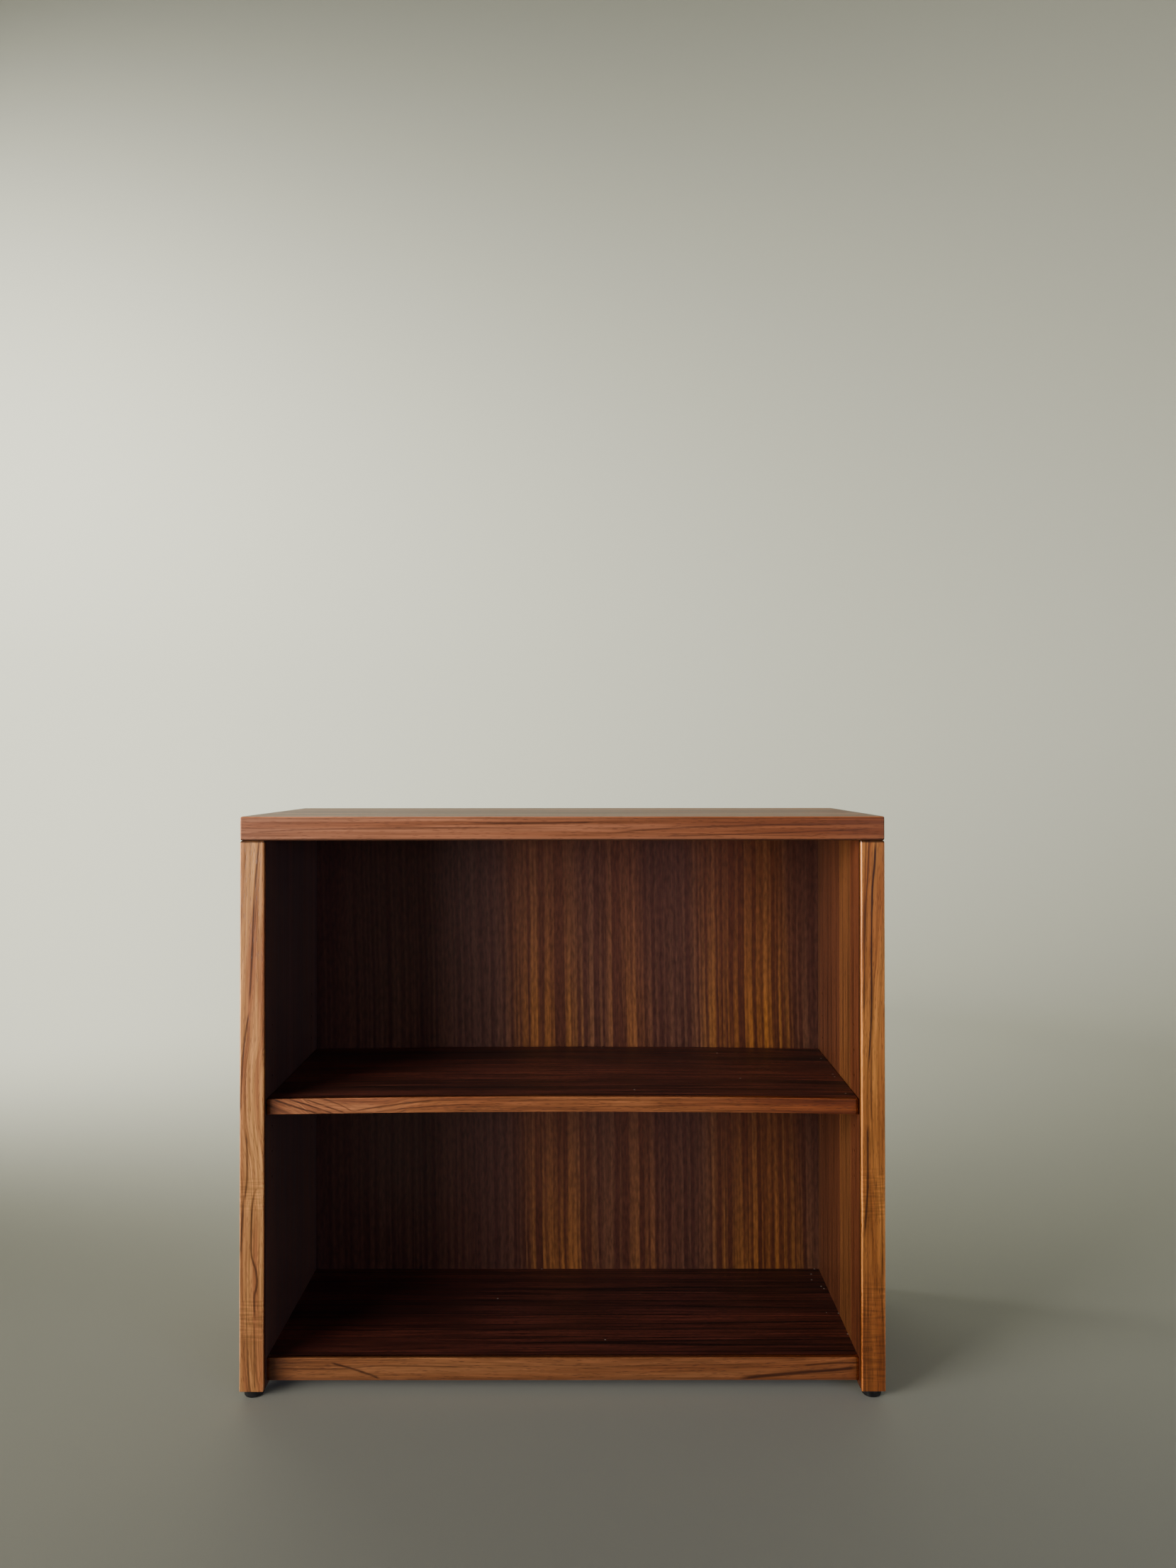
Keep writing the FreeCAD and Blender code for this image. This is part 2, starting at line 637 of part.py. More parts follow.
def make_pieces():
    pieces = [make_top_board(), make_top_front_lipping()]
    for hand in ("left", "right"):
        pieces.append(make_top_end_lipping(hand))
        pieces.append(make_side_board(hand))
        pieces.append(make_side_front_lipping(hand))
        pieces.append(make_shelf_wire(hand))
        pieces.append(make_dowels("top", hand))
        pieces.append(make_dowels("bottom", hand))
        for end in ("front", "rear"):
            pieces.append(make_glide(end, hand))
    pieces += [make_bottom_board(), make_bottom_front_lipping(), make_back_panel()]
    pieces += [make_shelf_board(), make_shelf_front_lipping(), make_glide_nails()]
    return pieces


def check(pieces):
    """Stop before anything is written if a feature failed or a shape is bad."""
    for item in doc.Objects:
        if "Invalid" in item.State or "Error" in item.State:
            raise ValueError(item.Name + " did not compute: " + str(item.State))
    for piece in pieces:
        if piece.Shape.isNull() or not piece.Shape.isValid():
            raise ValueError(piece.Label + " has no valid shape")


pieces = make_pieces()
doc.recompute()
check(pieces)
os.makedirs("parts", exist_ok=True)
for piece in pieces:
    piece.Shape.exportStep("parts/%s.step" % piece.Label)
    box = piece.Shape.BoundBox
    print("%-26s %d solid(s), %9.1f mm3, z %.1f to %.1f"
          % (piece.Label, len(piece.Shape.Solids), piece.Shape.Volume, box.ZMin, box.ZMax))
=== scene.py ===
import math

import bmesh
import bpy
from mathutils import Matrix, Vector, noise


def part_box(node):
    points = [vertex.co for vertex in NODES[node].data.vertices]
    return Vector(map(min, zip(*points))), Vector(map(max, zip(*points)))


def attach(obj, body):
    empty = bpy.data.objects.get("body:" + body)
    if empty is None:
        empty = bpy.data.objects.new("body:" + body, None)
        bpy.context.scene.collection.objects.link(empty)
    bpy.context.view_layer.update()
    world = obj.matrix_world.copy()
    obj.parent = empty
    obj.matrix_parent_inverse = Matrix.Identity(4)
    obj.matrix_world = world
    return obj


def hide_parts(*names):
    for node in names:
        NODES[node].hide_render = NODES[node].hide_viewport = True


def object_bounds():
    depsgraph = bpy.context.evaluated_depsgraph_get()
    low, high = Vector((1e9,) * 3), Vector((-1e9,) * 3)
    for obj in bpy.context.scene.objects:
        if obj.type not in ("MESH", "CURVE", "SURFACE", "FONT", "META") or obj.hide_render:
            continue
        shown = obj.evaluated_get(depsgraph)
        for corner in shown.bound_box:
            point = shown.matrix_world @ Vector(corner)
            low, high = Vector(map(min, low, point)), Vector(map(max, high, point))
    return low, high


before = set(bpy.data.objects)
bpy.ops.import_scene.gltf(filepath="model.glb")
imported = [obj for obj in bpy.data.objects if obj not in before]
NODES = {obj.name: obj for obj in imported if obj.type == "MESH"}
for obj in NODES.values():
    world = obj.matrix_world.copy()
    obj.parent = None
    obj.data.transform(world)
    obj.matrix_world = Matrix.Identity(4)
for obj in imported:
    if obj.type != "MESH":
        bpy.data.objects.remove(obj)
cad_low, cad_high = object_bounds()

# An oiled teak bookcase: solid lippings on veneered boards, a ribbon-figured back, one crowned
# shelf on hidden wires, and black glides. X is the width, -Y the open front, Z is up; metres.
# Where a comment or a name says mm, MM turns the number to metres.

MM = 0.001


# ---- materials: helpers ------------------------------------------------------------------

# Settings of a mix of two colours: its input 0 is the share of the second, 6 and 7 the colours.
OVER = {"out": 2, "data_type": "RGBA"}
TINT = {"out": 2, "data_type": "RGBA", "blend_type": "MULTIPLY"}
# Settings of a range that begins and ends gently.
GENTLE = {"interpolation_type": "SMOOTHSTEP"}


def linear(hex_colour):
    """An sRGB hex colour as linear RGBA."""
    channels = [int(hex_colour[i:i + 2], 16) / 255 for i in (1, 3, 5)]
    return [c / 12.92 if c <= 0.04045 else ((c + 0.055) / 1.055) ** 2.4 for c in channels] + [1.0]


def add(tree, kind, *values, inputs=None, out=0, stops=None, **settings):
    """Add one node with its settings and return one of its outputs. values fill its inputs in
    order, and inputs gives them by name or number; each is a socket, a number, a vector or a
    hex colour. stops are a colour ramp's, as (place, hex colour)."""
    node = tree.nodes.new("ShaderNode" + kind)
    for name, setting in settings.items():
        setattr(node, name, setting)
    for socket, value in (inputs or dict(enumerate(values))).items():
        if isinstance(value, bpy.types.NodeSocket):
            tree.links.new(value, node.inputs[socket])
        else:
            node.inputs[socket].default_value = linear(value) if isinstance(value, str) else value
    if stops:
        ramp = node.color_ramp.elements
        while len(ramp) < len(stops):
            ramp.new(1.0)
        for element, (place, colour) in zip(ramp, stops):
            element.position = place
            element.color = linear(colour)
    return node.outputs[out] if node.outputs else None


def new_material(name):
    """A new material and its empty node tree."""
    material = bpy.data.materials.new(name)
    material.use_nodes = True
    material.node_tree.nodes.clear()
    return material, material.node_tree


def finish_material(tree, colour, roughness, height, bump_mm, ior=1.46, metallic=0.0, worn_and_highlit=False,
                    haze=0.0):
    """One principled shader with its colour, roughness and relief. Arrises are rubbed smooth by
    hands and coated, and their colour is made 2.5 times lighter: pale wear and a painted
    highlight, a bright line of light. haze is a thin film of old dust, which lifts dark wood
    seen edge on."""
    normal = add(tree, "Bump", inputs={
        "Strength": 1.0, "Distance": bump_mm * MM, "Height": height})
    coat = 0.0
    if worn_and_highlit:
        # A flat side faces along one axis, and an arris between two.
        facing = add(tree, "VectorMath", add(tree, "TexCoord", out=1), operation="ABSOLUTE")
        x, y, z = add(tree, "SeparateXYZ", facing).node.outputs
        most = add(tree, "Math", x, y, operation="MAXIMUM")
        most = add(tree, "Math", most, z, operation="MAXIMUM")
        arris = add(tree, "MapRange", most, 0.80, 0.90, 1.0, 0.0)
        # The arrises' colour is lifted 2.5 times: pale wear and a painted highlight.
        colour = add(tree, "Mix", inputs={0: arris, 6: colour, 7: shade(tree, colour, 2.5)}, **OVER)
        coat = add(tree, "Math", arris, 0.4, operation="MULTIPLY")
        roughness = add(tree, "Mix", inputs={0: arris, 2: roughness, 3: 0.30})
    shader = add(tree, "BsdfPrincipled", inputs={
        "Base Color": colour, "Roughness": roughness, "Normal": normal,
        "IOR": ior, "Metallic": metallic, "Coat Weight": coat, "Coat Roughness": 0.34,
        "Sheen Weight": haze, "Sheen Roughness": 0.6})
    add(tree, "OutputMaterial", inputs={"Surface": shader})


# ---- materials: timber --------------------------------------------------------------------


def grain_axes(tree, order):
    """Object coordinates in metres: along the grain, across the face and through the board.
    order names them, such as "xyz"."""
    parts = add(tree, "SeparateXYZ", add(tree, "TexCoord", out=3)).node.outputs
    return [parts["xyz".index(letter)] for letter in order]


def drawn_out(tree, axes, seed, along, across):
    """A point for a pattern drawn out along the grain; along and across in mm."""
    parts = [add(tree, "Math", axis, 1 / (size * MM), operation="MULTIPLY")
             for axis, size in zip(axes, (along, across, across))]
    place = (seed * 7.3, seed * 3.1, seed * 5.7)
    return add(tree, "VectorMath", add(tree, "CombineXYZ", *parts), place, operation="ADD")


def streaks(tree, axes, seed, along, across, low=0.35, high=0.65, detail=2.0, rough=0.5):
    """Soft streaks along the grain, from 0 to 1; along and across in mm. low and high are the
    noise's own values that become 0 and 1."""
    value = add(tree, "TexNoise", inputs={
        "Vector": drawn_out(tree, axes, seed, along, across),
        "Scale": 1.0, "Detail": detail, "Roughness": rough})
    return add(tree, "MapRange", value, low, high)


def pores(tree, axes, seed):
    """Open pores, seen as short dark dashes along the grain; drawn coarser than they are, 15 mm
    long and 1.5 mm wide at most, so that they show."""
    distance = add(tree, "TexVoronoi", inputs={
        "Vector": drawn_out(tree, axes, seed, 15, 1.5), "Scale": 1.0, "Randomness": 1.0})
    return add(tree, "MapRange", distance, 0.16, 0.32, 1.0, 0.0)


def course(tree, along, stations):
    """A value that changes along one axis: a smooth curve through (along, value), both in mm.
    It is the way a dark line wanders across the grain."""
    start, end = stations[0][0], stations[-1][0]
    least = min(value for _, value in stations)
    span = max(1.0, max(value for _, value in stations) - least)
    share = add(tree, "MapRange", along, start * MM, end * MM)
    curve = add(tree, "FloatCurve", inputs={"Value": share})
    mapping = curve.node.mapping
    points = mapping.curves[0].points
    spots = [((place - start) / (end - start), (value - least) / span) for place, value in stations]
    points[0].location = spots[0]
    points[-1].location = spots[-1]
    for spot in spots[1:-1]:
        points.new(*spot)
    mapping.update()
    return add(tree, "MapRange", curve, 0.0, 1.0, least * MM, (least + span) * MM)


def vein(tree, axes, seed, stations, width, strength):
    """One dark line of late wood on its own course, fading out at its ends; width in mm."""
    centre = course(tree, axes[0], stations)
    wobble = streaks(tree, axes, seed, 40, 3, 0.2, 0.8)
    wobble = add(tree, "MapRange", wobble, 0.0, 1.0, -0.5 * MM, 0.5 * MM)
    off = add(tree, "Math", axes[1], centre, operation="SUBTRACT")
    off = add(tree, "Math", off, wobble, operation="ADD")
    off = add(tree, "Math", off, operation="ABSOLUTE")
    core, rim = 0.15 * width * MM, 1.05 * width * MM
    line = add(tree, "MapRange", off, core, rim, strength, 0.0, **GENTLE)
    start, end = stations[0][0] * MM, stations[-1][0] * MM
    fade = 0.08 * (end - start)
    rising = add(tree, "MapRange", axes[0], start, start + fade, 0.3)
    falling = add(tree, "MapRange", axes[0], end - fade, end, 1.0, 0.3)
    broken = streaks(tree, axes, seed + 9, 60, 5, 0.0, 0.42)
    for part in (rising, falling, broken):
        line = add(tree, "Math", line, part, operation="MULTIPLY")
    return line


def shade(tree, colour, factor):
    """Multiply a colour by a grey factor."""
    grey = add(tree, "CombineXYZ", factor, factor, factor)
    return add(tree, "Mix", inputs={0: 1.0, 6: colour, 7: grey}, **TINT)


def teak_grain(tree, axes, seed, tones, size=1.0, run=1.0, lines=0.6, contrast=1.0, late=0.0,
               dark=None):
    """The grain of oiled teak: broad bands of light and dark, late-wood lines that come and go,
    pores, and fibre drawn coarser than it is, so that it shows. tones are light, body and line
    colours; size widens the pattern and run lengthens it; late adds long crisp lines where
    growth rings break the surface, and dark adds single veins. It returns the colour, the
    fibre and the relief."""
    bands = streaks(tree, axes, seed, 240 * run, 13 * size, 0.36, 0.64)
    colour = add(tree, "Mix", inputs={0: bands, 6: tones[0], 7: tones[1]}, **OVER)
    rings = streaks(tree, axes, seed + 1, 330 * run, 3.2 * size, 0.50, 0.68, detail=1.0)
    patches = streaks(tree, axes, seed + 2, 150 * run, 9 * size, 0.35, 0.65)
    rings = add(tree, "Math", rings, patches, operation="MULTIPLY")
    rings = add(tree, "Math", rings, lines, operation="MULTIPLY")
    colour = add(tree, "Mix", inputs={0: rings, 6: colour, 7: tones[2]}, **OVER)
    if late:
        hill = streaks(tree, axes, seed + 5, 1100 * run, 8 * size, 0.0, 1.0, detail=1.0)
        off = add(tree, "Math", hill, 0.5, operation="SUBTRACT")
        off = add(tree, "Math", off, operation="ABSOLUTE")
        ridge = add(tree, "MapRange", off, 0.010, 0.028, late, 0.0)
        colour = add(tree, "Mix", inputs={0: ridge, 6: colour, 7: "#160907"}, **OVER)
    fibre = streaks(tree, axes, seed + 3, 60 * run, 2.1 * size ** 0.5, 0.28, 0.72, rough=0.6)
    darkest, lightest = 1.0 - 0.34 * contrast, 1.0 + 0.30 * contrast
    colour = shade(tree, colour, add(tree, "MapRange", fibre, 0.0, 1.0, darkest, lightest))
    pore = pores(tree, axes, seed + 4)
    filled = add(tree, "Math", pore, 0.5 * contrast, operation="MULTIPLY")
    colour = add(tree, "Mix", inputs={0: filled, 6: colour, 7: tones[2]}, **OVER)
    relief = add(tree, "Math", fibre, 0.4, operation="MULTIPLY")
    relief = add(tree, "Math", relief, pore, operation="SUBTRACT")
    sunk = add(tree, "Math", rings, 0.5, operation="MULTIPLY")
    relief = add(tree, "Math", relief, sunk, operation="SUBTRACT")
    if dark is not None:
        colour = add(tree, "Mix", inputs={0: dark, 6: colour, 7: "#3f1c0c"}, **OVER)
    return colour, fibre, relief


def ripple(tree, colour, axes, seed, zones):
    """Faint bars across the grain where fibres undulate, in zones (from, to) along, in mm."""
    turned = [axes[1], axes[0], axes[2]]
    depth, fade = 0.20, 15
    bars = streaks(tree, turned, seed, 26, 2.6, 0.35, 0.65, detail=1.0)
    strength = 0.0
    for start, end in zones:
        rising = add(tree, "MapRange", axes[0], start * MM, (start + fade) * MM, **GENTLE)
        falling = add(tree, "MapRange", axes[0], (end - fade) * MM, end * MM, 1.0, 0.0, **GENTLE)
        inside = add(tree, "Math", rising, falling, operation="MULTIPLY")
        strength = add(tree, "Math", inside, strength, operation="ADD")
    bars = add(tree, "MapRange", bars, 0.0, 1.0, -depth, depth)
    bars = add(tree, "Math", bars, strength, operation="MULTIPLY")
    return shade(tree, colour, add(tree, "Math", bars, 1.0, operation="ADD"))


def paint_dark_run(tree, colour, letter, light_end, dark_end):
    """Darken a short run along X, Y or Z towards one end, in mm. It paints shade in joints and on
    arrises turned from the light, and draws the dark line where veneer meets lipping.
    """
    axis = grain_axes(tree, letter)[0]
    share = add(tree, "MapRange", axis, light_end * MM, dark_end * MM, 0.0, 0.92)
    return add(tree, "Mix", inputs={0: share, 6: colour, 7: "#1d0f0a"}, **OVER)


def dust(tree, colour, seed, share):
    """A few pale specks of dust and plaster on a surface, more in the corner at its right end.
    A speck can lie in each cell of 18 mm, and is about 2 mm wide."""
    cells_per_metre = 55.0
    place = add(tree, "VectorMath", add(tree, "TexCoord", out=3), (seed, 0.0, 0.0),
                operation="ADD")
    distance, chance = add(tree, "TexVoronoi", inputs={"Vector": place, "Scale": cells_per_metre},
                           voronoi_dimensions="2D").node.outputs[:2]
    across = grain_axes(tree, "x")[0]
    in_corner = add(tree, "MapRange", across, 345 * MM, 362 * MM, 0.0, 0.45)
    chance = add(tree, "Math", chance, in_corner, operation="ADD")
    rare = add(tree, "Math", chance, 0.97 - share, operation="GREATER_THAN")
    speck = add(tree, "MapRange", distance, 0.04, 0.08, 0.7, 0.0)
    speck = add(tree, "Math", speck, rare, operation="MULTIPLY")
    return add(tree, "Mix", inputs={0: speck, 6: colour, 7: "#cfc6ba"}, **OVER)


def solid_teak(name, order, seed, tones, way=None, veins=(), ripples=(), dark_runs=(), lines=0.6,
               size=1.0, run=1.0, patches=()):
    """Solid teak lipping, planed, sanded and oiled: golden to red brown with dark late-wood
    lines and open pores, and a satin shine that follows the fibre. way is the course its grain
    follows, veins its strongest lines as (course, width, strength), ripples its rippled zones,
    and its dark runs are (axis, light end, dark end): painted shade in joints and on arrises
    turned from the light. patches (from, to, tone) tint it from one place on to its end beyond
    the other: painted shade where light falls off along it and at ends in shadow."""
    material, tree = new_material(name)
    axes = grain_axes(tree, order)
    dark = None
    for i, (stations, width, strength) in enumerate(veins):
        line = vein(tree, axes, seed + 20 + i, stations, width, strength)
        dark = line if dark is None else add(tree, "Math", dark, line, operation="MAXIMUM")
    bent = list(axes)
    if way:
        bent[1] = add(tree, "Math", axes[1], course(tree, axes[0], way), operation="SUBTRACT")
    colour, fibre, relief = teak_grain(tree, bent, seed, tones, size, run, lines, dark=dark)
    # Painted shade: each patch darkens the lipping from one place on, where light falls off.
    for start, end, tone in patches:
        share = add(tree, "MapRange", axes[0], start * MM, end * MM, 0.0, 0.85, **GENTLE)
        colour = add(tree, "Mix", inputs={0: share, 6: colour, 7: tone}, **TINT)
    if ripples:
        colour = ripple(tree, colour, axes, seed + 8, ripples)
    # Dark runs: painted shade in joints and on arrises turned from the light.
    for dark_run in dark_runs:
        colour = paint_dark_run(tree, colour, *dark_run)
    roughness = add(tree, "MapRange", fibre, 0.0, 1.0, 0.36, 0.50)
    finish_material(tree, colour, roughness, relief, bump_mm=0.10, worn_and_highlit=True)
    return material


def leaves_across(tree, across, leaf, start):
    """Where a point lies among veneer leaves laid side by side, leaf wide from start, in mm:
    its distance from the first leaf's edge and its leaf's number."""
    from_start = add(tree, "Math", across, -start * MM, operation="ADD")
    number = add(tree, "Math", from_start, 1 / (leaf * MM), operation="MULTIPLY")
    return from_start, add(tree, "Math", number, operation="FLOOR")


def veneer_board(node, name, order, seed, leaf, start, tones, size, run, contrast, lines=0.55,
                 roughs=(0.34, 0.48), dark_runs=(), specks=0.0, late=0.0, haze=0.0):
    """Lay sliced teak veneer on a board, oiled: leaves of one width side by side, each mirrored
    on the last, so that tone and grain change at a crisp joint. leaf and start are in mm
    across the face, and tones holds each leaf's body colour in turn. The board's rear edge is
    bare and shows its chipboard core."""
    material, tree = new_material(name)
    along, across, through = grain_axes(tree, order)
    from_start, number = leaves_across(tree, across, leaf, start)
    mirrored = add(tree, "Math", from_start, leaf * MM, operation="PINGPONG")
    slip = add(tree, "Math", number, 21 * MM, operation="MULTIPLY")
    slipped = add(tree, "Math", along, slip, operation="ADD")
    drift = streaks(tree, [along, through, through], seed + 6, 500, 90, 0.2, 0.8)
    drift = add(tree, "Math", drift, 9 * MM, operation="MULTIPLY")
    mirrored = add(tree, "Math", mirrored, drift, operation="ADD")
    axes = [slipped, mirrored, add(tree, "Math", through, 0.15, operation="MULTIPLY")]
    share = add(tree, "Math", from_start, 1 / (leaf * len(tones) * MM), operation="MULTIPLY")
    stops = [(i / len(tones), tone) for i, tone in enumerate(tones)]
    body = add(tree, "ValToRGB", share, stops=stops)
    body.node.color_ramp.interpolation = "CONSTANT"
    light = shade(tree, body, 1.0 + 0.28 * contrast)
    deep = add(tree, "Mix", inputs={0: 0.66, 6: body, 7: "#1c0d08"}, **OVER)
    bodies = (light, shade(tree, body, 1.14 - 0.14 * contrast), deep)
    colour, fibre, relief = teak_grain(tree, axes, seed, bodies, size, run, lines, contrast, late)
    # Dark runs along the board, such as a dark line where veneer meets lipping.
    for dark_run in dark_runs:
        colour = paint_dark_run(tree, colour, *dark_run)
    if specks:
        colour = dust(tree, colour, seed, specks)
    roughness = add(tree, "MapRange", fibre, 0.0, 1.0, *roughs)
    faces = [corner["xyz".index(order[2])] for corner in corners(node)]
    colour, roughness = rear_edge(tree, colour, roughness, through, *faces)
    finish_material(tree, colour, roughness, relief, bump_mm=0.06, haze=haze)
    dress(node, material)


def rear_edge(tree, colour, roughness, through, lower, upper):
    """Where a board's rear edge is left bare: pressed chips, 2 to 3 mm across, between two
    veneers 0.9 mm thick. lower and upper are the board's two faces, in metres."""
    facing_back = add(tree, "SeparateXYZ", add(tree, "TexCoord", out=1), out=1)
    rear = add(tree, "Math", facing_back, 0.7, operation="GREATER_THAN")
    centre, half = (lower + upper) / 2, (upper - lower) / 2
    off_centre = add(tree, "Math", through, -centre, operation="ADD")
    off_centre = add(tree, "Math", off_centre, operation="ABSOLUTE")
    core = add(tree, "Math", off_centre, half - 0.9 * MM, operation="LESS_THAN")
    bare = add(tree, "Math", rear, core, operation="MULTIPLY")
    chips_per_metre = 420.0
    chips = add(tree, "TexVoronoi", out=1, inputs={
        "Vector": add(tree, "TexCoord", out=3), "Scale": chips_per_metre})
    chip_tone = add(tree, "ValToRGB", chips, stops=(
        (0.0, "#786c5c"), (0.45, "#9c8f7c"), (0.8, "#b3a794"), (1.0, "#c6bcab")))
    colour = add(tree, "Mix", inputs={0: bare, 6: colour, 7: chip_tone}, **OVER)
    return colour, add(tree, "Mix", inputs={0: bare, 2: roughness, 3: 0.9})


def ribbon_teak(name, seed, leaf, start, groups, painted_shine_by_height):
    """Quarter-cut teak veneer with ribbon figure, oiled: upright light ribbons a few mm wide
    between dark lines, in groups, with short flecks. The leaves are slip-matched, so the
    figure comes again in each leaf, a little changed. leaf and start are in mm across the
    face; groups are (across in mm, lightness out of ten), and the shine by height is given as
    (height in mm, shine of the ribbons out of ten): a painted shine that makes the ribbons
    brighter and more golden where it is high, and the ground paler where it is low."""
    material, tree = new_material(name)
    along, across, through = grain_axes(tree, "zxy")
    from_start, number = leaves_across(tree, across, leaf, start)
    in_leaf = add(tree, "Math", from_start, leaf * MM, operation="MODULO")
    slant = add(tree, "Math", along, 0.016, operation="MULTIPLY")
    sway = streaks(tree, [along, number, number], seed + 7, 260, 1000, 0.3, 0.7)
    sway = add(tree, "Math", sway, 3 * MM, operation="MULTIPLY")
    bent = add(tree, "Math", in_leaf, slant, operation="ADD")
    bent = add(tree, "Math", bent, sway, operation="ADD")
    axes = [along, bent, add(tree, "Math", number, 2.4 * MM, operation="MULTIPLY")]
    ribbon = streaks(tree, axes, seed, 900, 5.6, 0.40, 0.66, detail=0.8)
    thin = streaks(tree, axes, seed + 1, 500, 2.6, 0.34, 0.66, detail=1.0)
    red = streaks(tree, axes, seed + 3, 1500, 70, 0.40, 0.62, detail=1.0)
    slant = add(tree, "Math", along, 0.05, operation="MULTIPLY")
    leaning = add(tree, "Math", across, slant, operation="ADD")
    group = add(tree, "MapRange", course(tree, leaning, groups), 0.0, 10 * MM)
    # A painted shine that changes with height: the ribbons' lightness, out of ten.
    painted_shine = add(tree, "MapRange", course(tree, along, painted_shine_by_height), 0.0, 10 * MM)
    light = ribbon
    for part in (add(tree, "MapRange", group, 0.0, 1.0, 0.22, 1.0),
                 add(tree, "MapRange", thin, 0.0, 1.0, 0.76, 1.0), painted_shine):
        light = add(tree, "Math", light, part, operation="MULTIPLY")
    base = add(tree, "Mix", inputs={0: group, 6: "#44211a", 7: "#582b16"}, **OVER)
    # Painted haze: where the shine is low, the ground is up to 1.3 times lighter.
    base = shade(tree, base, add(tree, "MapRange", painted_shine, 0.2, 1.0, 1.30, 1.0))
    golden = add(tree, "Math", painted_shine, group, operation="MULTIPLY")
    bright = add(tree, "Mix", inputs={0: golden, 6: "#8a5f4a", 7: "#ae7130"}, **OVER)
    colour = add(tree, "Mix", inputs={0: light, 6: base, 7: bright}, **OVER)
    redness = add(tree, "Math", red, 0.35, operation="MULTIPLY")
    colour = add(tree, "Mix", inputs={0: redness, 6: colour, 7: "#e8c0a8"}, **TINT)
    # Pores and rays are half a millimetre wide; they are drawn coarser here so that they show.
    fleck = streaks(tree, [along, across, through], seed + 4, 11, 3.2, 0.3, 0.7)
    colour = shade(tree, colour, add(tree, "MapRange", fleck, 0.0, 1.0, 0.70, 1.30))
    roughness = add(tree, "MapRange", fleck, 0.0, 1.0, 0.36, 0.50)
    finish_material(tree, colour, roughness, ribbon, bump_mm=0.05, haze=0.11)
    return material


def turned_beech(name):
    """Beech dowel, turned and left raw: pale, close-grained and dull."""
    material, tree = new_material(name)
    grain = streaks(tree, grain_axes(tree, "xyz"), 31, 12, 1.2, detail=3.0)
    colour = add(tree, "Mix", inputs={0: grain, 6: "#c9a27a", 7: "#e0c29c"}, **OVER)
    finish_material(tree, colour, 0.8, grain, bump_mm=0.05)
    return material


def drawn_steel(name):
    """Bright drawn steel wire: lengthwise scratches, drawn coarser than they are, and a clean
    metal shine."""
    material, tree = new_material(name)
    scratch = streaks(tree, grain_axes(tree, "yxz"), 41, 30, 0.4)
    colour = add(tree, "Mix", inputs={0: scratch, 6: "#8f9092", 7: "#c4c5c6"}, **OVER)
    roughness = add(tree, "MapRange", scratch, 0.0, 1.0, 0.22, 0.42)
    finish_material(tree, colour, roughness, scratch, bump_mm=0.01, ior=1.5, metallic=1.0)
    return material


def speckle(tree, per_metre, detail):
    """Even specks with no grain, so many to the metre."""
    return add(tree, "TexNoise", inputs={
        "Vector": add(tree, "TexCoord", out=3), "Scale": per_metre, "Detail": detail})


def moulded_nylon(name):
    """Black nylon glide, moulded: near black, satin, with a faint mould texture of 0.4 mm, and
    scuffs of 4 mm."""
    material, tree = new_material(name)
    mould = speckle(tree, 2600.0, 2.0)
    scuff = speckle(tree, 260.0, 4.0)
    colour = add(tree, "ValToRGB", scuff, stops=((0.45, "#141416"), (0.75, "#2b2b2d")))
    roughness = add(tree, "MapRange", scuff, 0.3, 0.7, 0.34, 0.55)
    finish_material(tree, colour, roughness, mould, bump_mm=0.03, ior=1.53)
    return material


def matte_paper(name):
    """Seamless studio paper: pale, warm grey and matt, with a tooth drawn coarser than it is,
    about 1 mm."""
    material, tree = new_material(name)
    tooth = speckle(tree, 900.0, 2.0)
    colour = add(tree, "ValToRGB", tooth, stops=((0.0, "#b5b5a9"), (1.0, "#bcbcb0")))
    finish_material(tree, colour, 0.85, tooth, bump_mm=0.05)
    return material


# ---- shapes ---------------------------------------------------------------------------------


def near(a, b):
    """Whether two places agree within a hundredth of a millimetre."""
    return abs(a - b) < 0.01 * MM


def corners(node):
    """The low and high corners of a CAD node's box."""
    return [Vector(corner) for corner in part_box(node)]


def block(low, high):
    """A box between two corners as a new bmesh."""
    mesh = bmesh.new()
    bmesh.ops.create_cube(mesh, size=1.0)
    for vertex in mesh.verts:
        for i in range(3):
            vertex.co[i] = (low[i] + high[i]) / 2 + vertex.co[i] * (high[i] - low[i])
    return mesh


def middle(edge):
    """The point half way along an edge."""
    return (edge.verts[0].co + edge.verts[1].co) / 2


def bevel(mesh, edges, size, rounds):
    """Bevel edges in so many steps; one step is a chamfer."""
    bmesh.ops.bevel(mesh, geom=edges, offset=size, segments=rounds, profile=0.5,
                    affect="EDGES", clamp_overlap=True)


def plane_off(mesh, size, wanted):
    """Chamfer each edge whose middle the test accepts."""
    bevel(mesh, [e for e in mesh.edges if wanted(middle(e))], size, 1)


def ease(mesh, size, is_glued):
    """Round every exposed arris a little, as sandpaper does."""
    sharp = [e for e in mesh.edges if e.calc_face_angle(0.0) > math.radians(20)
             and not is_glued(middle(e))]
    bevel(mesh, sharp, size, 2)


def cut_across(mesh, axis, low, high):
    """Cut the mesh across one axis every 4 mm or so, so that it can bend and wear."""
    direction = Vector([1.0 if i == axis else 0.0 for i in range(3)])
    count = max(1, round((high - low) / (4 * MM)))
    for i in range(1, count):
        everything = mesh.verts[:] + mesh.edges[:] + mesh.faces[:]
        bmesh.ops.bisect_plane(mesh, geom=everything, plane_no=direction, dist=1e-7,
                               plane_co=direction * (low + (high - low) * i / count))


